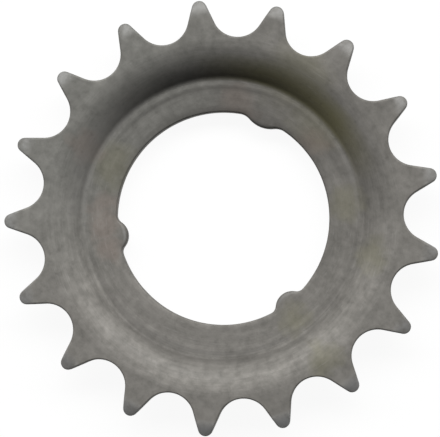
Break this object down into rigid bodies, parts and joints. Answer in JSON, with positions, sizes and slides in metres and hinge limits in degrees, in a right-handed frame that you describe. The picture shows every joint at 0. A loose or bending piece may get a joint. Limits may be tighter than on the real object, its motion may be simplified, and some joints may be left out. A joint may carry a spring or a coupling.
{
  "type": "bicycle cog",
  "caption": "Dished bare-steel bicycle cog: a ring of rounded chain teeth outside, and a bore with driving lugs inside a sunken ring.",
  "frame": {"origin": "on the bore's axis, at the back face of the inner ring, which is the face the cog lies on", "axes": "+Z along the bore's axis, out of the dished front; +X through the tooth that has a lug in line with it"},
  "size_m": [0.0722, 0.0724, 0.0061],
  "materials": {
    "steel": "bare pressed steel, dull grey with faint turning marks"
  },
  "bodies": {
    "root": {"cog": "steel"}
  },
  "joints": []
}
